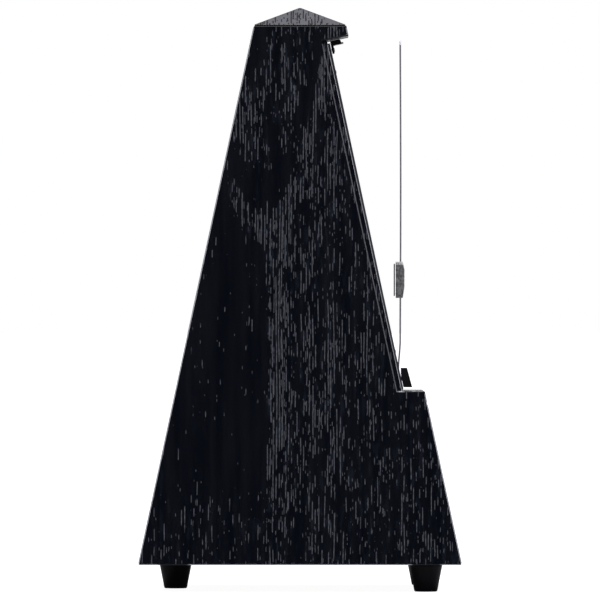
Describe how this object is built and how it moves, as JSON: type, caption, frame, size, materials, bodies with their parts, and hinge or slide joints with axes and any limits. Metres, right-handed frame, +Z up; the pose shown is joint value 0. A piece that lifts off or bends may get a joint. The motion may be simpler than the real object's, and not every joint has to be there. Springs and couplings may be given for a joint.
{
  "type": "metronome",
  "caption": "Clockwork pyramid metronome in black open-pore wood with a swinging steel rod, sliding weight, slotted front and side winding key.",
  "frame": {"origin": "centre of the base board's underside", "axes": "+Z up along the parked pendulum rod; -Y is the open front; +X is the side with the winding key"},
  "size_m": [0.1293, 0.119, 0.216],
  "materials": {
    "black_wood": "black open-pore stain, silk",
    "roof_wood": "black open-pore stain, silk",
    "base_wood": "plain fibreboard",
    "black_plastic": "satin",
    "foot_rubber": "soft sheen",
    "rod_steel": "drawn strip",
    "screw_steel": "turned",
    "spring_steel": "blued",
    "cast_weight": "rough cast",
    "scale_metal": "satin, printed",
    "key_brass": "polished",
    "movement_brass": "satin",
    "movement_steel": "turned",
    "bob_metal": "cast, dull"
  },
  "bodies": {
    "case": {"side_panel_left": "black_wood", "side_panel_right": "black_wood", "back_panel": "black_wood", "lower_front_panel": "black_wood", "ledge_board": "black_wood", "scale_board": "black_wood", "head_block": "black_wood", "roof_cap": "roof_wood", "base_board": "base_wood", "foot_front_left": "foot_rubber", "foot_front_right": "foot_rubber", "foot_rear": "foot_rubber", "foot_screw_front_left": "screw_steel", "foot_screw_front_right": "screw_steel", "foot_screw_rear": "screw_steel", "scale_plate": "scale_metal", "scale_pin_top_left": "screw_steel", "scale_pin_top_right": "screw_steel", "scale_pin_low_left": "screw_steel", "scale_pin_low_right": "screw_steel", "pendulum_bridge": "black_plastic", "top_catch": "black_plastic", "bridge_screw_left": "screw_steel", "bridge_screw_right": "screw_steel", "catch_screw": "screw_steel", "catch_leaf": "screw_steel", "key_bush": "key_brass", "frame_plate_left": "movement_brass", "frame_plate_right": "movement_brass", "frame_pillar_1": "movement_brass", "frame_pillar_2": "movement_brass", "frame_pillar_3": "movement_brass", "frame_pillar_4": "movement_brass", "rear_cock": "movement_brass", "frame_screw_1": "screw_steel", "frame_screw_2": "screw_steel", "frame_screw_3": "screw_steel", "frame_screw_4": "screw_steel", "click_spring": "spring_steel", "click_screw": "movement_steel"},
    "pendulum": {"verge": "movement_steel", "verge_collet": "movement_brass", "rod_lower": "rod_steel", "pendulum_bob": "bob_metal", "bob_screw": "screw_steel"},
    "rod_top": {"rod_upper": "rod_steel"},
    "weight": {"sliding_weight": "cast_weight", "weight_spring": "spring_steel"},
    "winding_key": {"winding_key": "key_brass", "barrel_arbor": "movement_steel", "ratchet_wheel": "movement_steel"},
    "click": {"click": "movement_steel"},
    "spring_barrel": {"spring_barrel": "movement_brass", "barrel_cover": "movement_brass", "mainspring": "spring_steel"},
    "intermediate_wheel": {"intermediate_pinion": "movement_steel", "intermediate_wheel": "movement_brass"},
    "escape_wheel": {"escape_pinion": "movement_steel", "crown_wheel": "movement_brass"}
  },
  "joints": [
    {"name": "pendulum_swing", "type": "hinge", "parent": "case", "child": "pendulum", "pos_m": [0, -0.0366, 0.0685], "axis": [0, 1, 0], "range_deg": [-22, 22]},
    {"name": "rod_lean", "type": "hinge", "parent": "pendulum", "child": "rod_top", "pos_m": [0, -0.0373, 0.0865], "axis": [-1, 0, 0], "range_deg": [0, 11], "stiffness_Nm_per_rad": 0.15},
    {"name": "weight_slide", "type": "slide", "parent": "rod_top", "child": "weight", "axis": [0, 0, 1], "range_m": [-0.0105, 0.08]},
    {"name": "key_turn", "type": "hinge", "parent": "case", "child": "winding_key", "pos_m": [0, 0, 0.034], "axis": [1, 0, 0], "continuous": true},
    {"name": "click_lift", "type": "hinge", "parent": "case", "child": "click", "pos_m": [0.0147, -0.011, 0.039], "axis": [1, 0, 0], "range_deg": [0, 10], "stiffness_Nm_per_rad": 0.002},
    {"name": "barrel_turn", "type": "hinge", "parent": "case", "child": "spring_barrel", "pos_m": [0, 0, 0.034], "axis": [1, 0, 0], "continuous": true},
    {"name": "intermediate_turn", "type": "hinge", "parent": "case", "child": "intermediate_wheel", "pos_m": [0, -0.00733, 0.05496], "axis": [1, 0, 0], "continuous": true},
    {"name": "escape_turn", "type": "hinge", "parent": "case", "child": "escape_wheel", "pos_m": [0, -0.019, 0.0659], "axis": [1, 0, 0], "continuous": true}
  ],
  "couplings": [
    {"joint": "intermediate_turn", "follows": "barrel_turn", "ratio": -6.4},
    {"joint": "escape_turn", "follows": "barrel_turn", "ratio": 44.8}
  ]
}
